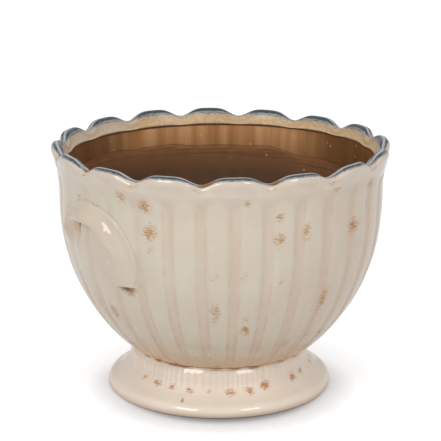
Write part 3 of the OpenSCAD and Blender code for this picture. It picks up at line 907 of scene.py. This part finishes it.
# %% Strap sections
SUNK = -3.2
crown_strap = np.array([
    (0.66, 0, 0, SUNK), (0.63, 0, 0, -0.3), (0.59, 0.05, 0.06, 0), (0.55, 0.14, 0.16, 0),
    (0.51, 0.23, 0.25, 0), (0.46, 0.30, 0.32, 0), (0.40, 0.34, 0.36, 0), (0.32, 0.38, 0.40, 0),
    (0.21, 0.49, 0.52, 0), (0.08, 0.66, 0.70, 0), (-0.06, 0.83, 0.86, 0), (-0.20, 0.95, 0.97, 0),
    (-0.32, 0.95, 1, 0), (-0.41, 0.78, 1, 0), (-0.47, 0.45, 1, 0), (-0.49, 0.14, 0.96, 0),
    (-0.45, -0.02, 0.90, 0), (-0.32, 0, 0.74, 0), (-0.16, 0, 0.40, -0.6), (0.02, 0, 0, -2.4),
    (0.30, 0, 0, SUNK),
])
leg_strap = np.array([
    (0.62, 0, 0, SUNK), (0.60, 0, 0, -0.3), (0.57, 0.10, 0, 0), (0.54, 0.20, 0, 0), (0.51, 0.26, 0, 0),
    (0.465, 0.28, 0, 0), (0.41, 0.25, 0, 0), (0.25, 0.23, 0, 0), (0.13, 0.28, 0, 0),
    (0.02, 0.43, 0, 0), (-0.09, 0.59, 0, 0), (-0.20, 0.75, 0, 0), (-0.31, 0.91, 0, 0),
    (-0.43, 1, 0, 0), (-0.58, 0.95, 0, 0), (-0.72, 0.74, 0, 0), (-0.89, 0.40, 0, 0),
    (-1.06, 0.12, 0, 0), (-1.22, 0, 0, -0.12), (-0.40, 0, 0, SUNK), (0.20, 0, 0, SUNK),
])
straps = [curve_through(strap, 3, strap[-1], strap[0]) for strap in (crown_strap, leg_strap)]
for strap in straps:
    strap[:, 3] = np.minimum(strap[:, 3], 0)
crown_strap, leg_strap = straps
OUTER_FACE = np.arange(len(leg_strap)) <= 39
print("each section of a handle has", len(leg_strap), "points")

# %% [markdown]
# ## Sweeping the strap
# The section is swept along the arch and down both legs, while t runs from -1 to 1. The leg
# with t below 0 is narrow, round and low, and fades into the wall. The other one stays a flat
# strap and ends blunt. Near the wall the normals turn into the wall's own, so that the clay of
# both seems to flow together.

# %% Handle rings
ARCH_SHARE, ARCH_W, ARCH_H, MID_Z, LOW_Z = 0.76, 42.0, 37.5, 140.0, 119.0
CROWN_W, SHOULDER_W, END_W, CROWN_H, END_H, FINGER_GAP = 17, 20, 14, 9.5, 4.4, 6
ends = 0.03 * np.linspace(0, 1, 9)[:-1] ** 2
along = np.concatenate([ends - 1, np.linspace(-0.97, 0.97, 170), 1 - ends[::-1]])


def wall_normal(angle, z):
    """Outward normal of the fluted wall."""
    r, step = wall_r(angle, z), 1e-3
    by_angle = (wall_r(angle + step, z) - wall_r(angle - step, z)) / (2 * step) / r
    by_height = (wall_r(angle, z + 0.2) - wall_r(angle, z - 0.2)) / 0.4
    outward, sideways = turned(1.0, angle, -by_height), turned(1.0, angle + pi / 2, 0.0)
    return unit(outward - by_angle[..., None] * sideways)


def handle_rings(turn_by):
    """Rings of the handle whose middle stands at angle turn_by, with its sections and t."""
    t = along[:, None]
    over = pi / 2 * (1 - t / ARCH_SHARE)
    leg = np.maximum(0, np.abs(t) - ARCH_SHARE) / (1 - ARCH_SHARE)
    arch = np.abs(t) < ARCH_SHARE
    s = np.where(arch, ARCH_W * np.cos(over), np.sign(t) * (ARCH_W - 4 * leg ** 2))
    z = np.where(arch, MID_Z + ARCH_H * np.sin(over), mix(MID_Z, LOW_Z, leg))
    aside, upward = np.where(arch, np.cos(over), np.sign(t)), np.where(arch, np.sin(over), 0)

    blunt = np.sqrt(1 - 0.96 * np.clip((np.abs(t) - 0.982) / 0.018, 0, 1) ** 2)
    w = mix(mix(CROWN_W, SHOULDER_W, smooth(np.abs(t) / ARCH_SHARE)), END_W, smooth(leg))
    w = w * (1 - 0.4 * smooth(-t / 0.4))
    faded = 1 - 0.92 * smooth((-t - 0.42) / 0.42)
    h = mix(CROWN_H, END_H, smooth(np.abs(t) / 0.9)) * blunt * faded
    from_crown = smooth(np.where(t < 0, 1.5, 1.2) * np.abs(t) / 0.5)
    gap = FINGER_GAP * (1 - from_crown)

    strap = mix(crown_strap, leg_strap, from_crown[..., None])
    dome = 0.95 * np.cos(pi / 2 * np.clip((strap[..., 0] + 0.3) / 0.92, -1, 1))
    rounder = np.where(OUTER_FACE, np.maximum(strap[..., 1], dome), strap[..., 1])
    strap[..., 1] = mix(strap[..., 1], rounder, smooth(-t / 0.25))
    across = strap[..., 0] - smooth(-t / 0.4) * np.maximum(0, -0.6 - strap[..., 0])
    s, z = s + across * w * aside, z + across * w * upward

    angle = turn_by + s / side_r(z)
    base = mix(wall_r(angle, z), side_r(z), smooth(strap[..., 1] / 0.5))
    proud = strap[..., 1] * (h - gap) + strap[..., 2] * gap
    rings = turned(base + 0.02 + proud + strap[..., 3], angle, z)
    own_normals = (strap[..., 3] < -0.6) | (strap[..., 2] > 0.05)
    flush = np.where(own_normals, 1, smooth(proud / 1.2))
    return rings, unit(mix(wall_normal(angle, z), ring_normals(rings), flush[..., None])), strap, t


print("a handle is", 2 * ARCH_W + SHOULDER_W, "mm wide, its top", MID_Z + ARCH_H + CROWN_W / 2, "mm up")

# %% [markdown]
# ## Glaze on the handles
# The handles are dipped in the bowl's glaze. It pools brown at the end of the flat leg and in
# the corner of the finger hollow, where a dark brown also paints their shadow, and a browner tan
# paints the shade inside the hollow and under the crown.

# %% Handles
ON_HANDLE = [(-62, 180, 186, 2.0, 0.7), (-45, 183, 188, 3.0, 0.9)]
for name, node, turn_by in (("right_handle", "handle_right", 0.0), ("left_handle", "handle_left", pi)):
    rings, normals, strap, t = handle_rings(turn_by)
    angle, z = np.arctan2(rings[..., 1], rings[..., 0]), rings[..., 2]
    across, height, lift = strap[..., 0], strap[..., 1], np.maximum(strap[..., 1], strap[..., 2])
    crown = 1 - smooth((np.abs(t) - 0.1) / 0.4)
    end = smooth((t - 0.984) / 0.01)
    hollow_side = crown * smooth((-0.34 - across) / 0.08) * smooth((0.75 - height) / 0.5)
    corner_line = smooth((-0.4 - across) / 0.1) * smooth((0.3 - height) / 0.3)
    masks = {
        "groove": mix((1 - lobe(angle, z)), 0.6, smooth(lift / 0.6)),
        "edge": 0.3 * np.exp(-((across - 0.57) / 0.03) ** 2),
        "wiped": patches(rings, WIPED + ON_HANDLE),
        # A browner tan paints the shade inside the finger hollow and under the crown.
        "painted_shade": np.maximum(hollow_side, patches(rings, UNDER_CROWN)),
        "dry": 0.9 * end,
        # Dark brown paints the shadow at the blunt end and in the corner of the finger hollow, over
        # pooled glaze.
        "shadow_and_pooled_glaze": end * smooth((across + 0.6) / 0.2)
        + 0.15 * (1 - smooth((np.abs(t) - 0.05) / 0.25)) * corner_line,
    }
    handle = skin(name, [(rings, normals, 0)], [bowl_glaze], masks)
    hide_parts(node)

# %% [markdown]
# ## The floor
# The pot was photographed on white paper, which takes its soft shadow. For the camera the paper
# adds a little light of its own, less near the pot, so that it is white and the shadow stays. In
# reflections it adds half as much, or the pot's edges would shine too white. Close round the foot
# the paper is painted greyer: a painted contact shadow.

# %% Floor
FLOOR_R, BELOW_FOOT, FIBRE_SIZE = 8.0, 0.0002, 8.0
SHADE_MIDDLE = (-12.4, -15.7, 0.0)


def white_floor():
    """White paper that still takes a shadow."""
    finish, tree, place, _ = new_finish("white paper sweep")
    fibre = add(tree, "TexNoise", {"Vector": place, "Scale": 1 / FIBRE_SIZE})
    away = add(tree, "VectorMath", {0: place, 1: SHADE_MIDDLE}, operation="DISTANCE").outputs["Value"]
    # A painted contact shadow, grey close round the foot.
    painted_contact_shadow = add(tree, "MapRange", {
        "Value": away, "From Min": 95, "From Max": 77}, interpolation_type="SMOOTHSTEP")
    colour = light_of("#E5E7EA")
    for share, code in ((fibre, "#F0F2F5"), (painted_contact_shadow, "#909398")):
        colour = add(tree, "Mix", {0: share, 6: colour, 7: light_of(code)}, data_type="RGBA")
    matt = add(tree, "BsdfDiffuse", {"Color": colour})
    path = add(tree, "LightPath").outputs
    seen = add(tree, "Math", {
        0: path["Is Glossy Ray"], 1: 0.5, 2: path["Is Camera Ray"]}, operation="MULTIPLY_ADD")
    seen = add(tree, "Math", {0: seen, 1: path["Is Transmission Ray"]}, operation="MAXIMUM")
    bright = add(tree, "MapRange", {"Value": away, "From Min": 86, "From Max": 122, "To Max": 0.42})
    brighter = add(tree, "MapRange", {"Value": away, "From Min": 122, "From Max": 165, "To Max": 0.08})
    bright = add(tree, "Math", {0: bright, 1: brighter}, operation="ADD")
    glow = add(tree, "Math", {0: seen, 1: bright}, operation="MULTIPLY")
    glow = add(tree, "Emission", {"Strength": glow})
    both = add(tree, "AddShader", {0: matt, 1: glow})
    add(tree, "OutputMaterial", {"Surface": both})
    return finish


paper_mesh = bpy.data.meshes.new("white_sweep")
paper_edge = turned(FLOOR_R, np.arange(96) * 2 * pi / 96, -BELOW_FOOT)
paper_mesh.from_pydata(paper_edge.tolist(), [], [list(range(len(paper_edge)))])
paper_mesh.materials.append(white_floor())
paper = new_object("white_sweep", paper_mesh)
print("the paper is", 2 * FLOOR_R, "m across")

# %% [markdown]
# ## The light
# One big window-like light stands on each side of the camera, a little above it, and gives the
# two bright marks on the glaze. The camera sees a white room, but the pot is lit by a dimmer one,
# so that its glaze keeps its colour.

# %% Light
LAMP_DISTANCE, LAMP_HEIGHT, ROOM_LIGHT = 1.6, 0.5, 0.62
room = bpy.data.worlds.new("white studio")
bpy.context.scene.world = room
room.use_nodes = True
room.node_tree.nodes.clear()
path = add(room.node_tree, "LightPath").outputs
seen = add(room.node_tree, "Math", {
    0: path["Is Camera Ray"], 1: path["Is Transmission Ray"]}, operation="MAXIMUM")
strength = add(room.node_tree, "MapRange", {"Value": seen, "To Min": ROOM_LIGHT})
sky = add(room.node_tree, "Background", {"Color": (1, 1, 1, 1), "Strength": strength})
add(room.node_tree, "OutputWorld", {"Surface": sky})

WINDOWS = (("left window", -36, 31, 0.62, 6.9), ("right window", 34, 31, 0.52, 5.5))
for name, azimuth, elevation, width, watts in WINDOWS:
    lamp = new_object(name, bpy.data.lights.new(name, "AREA"))
    lamp.data.shape = "RECTANGLE"
    lamp.data.size, lamp.data.size_y = width, LAMP_HEIGHT
    lamp.data.energy = watts
    aim(lamp, aim_point + LAMP_DISTANCE * toward(VIEW_AZIMUTH + azimuth, elevation), aim_point)
    print(name, "stands at", [round(v, 2) for v in lamp.location])
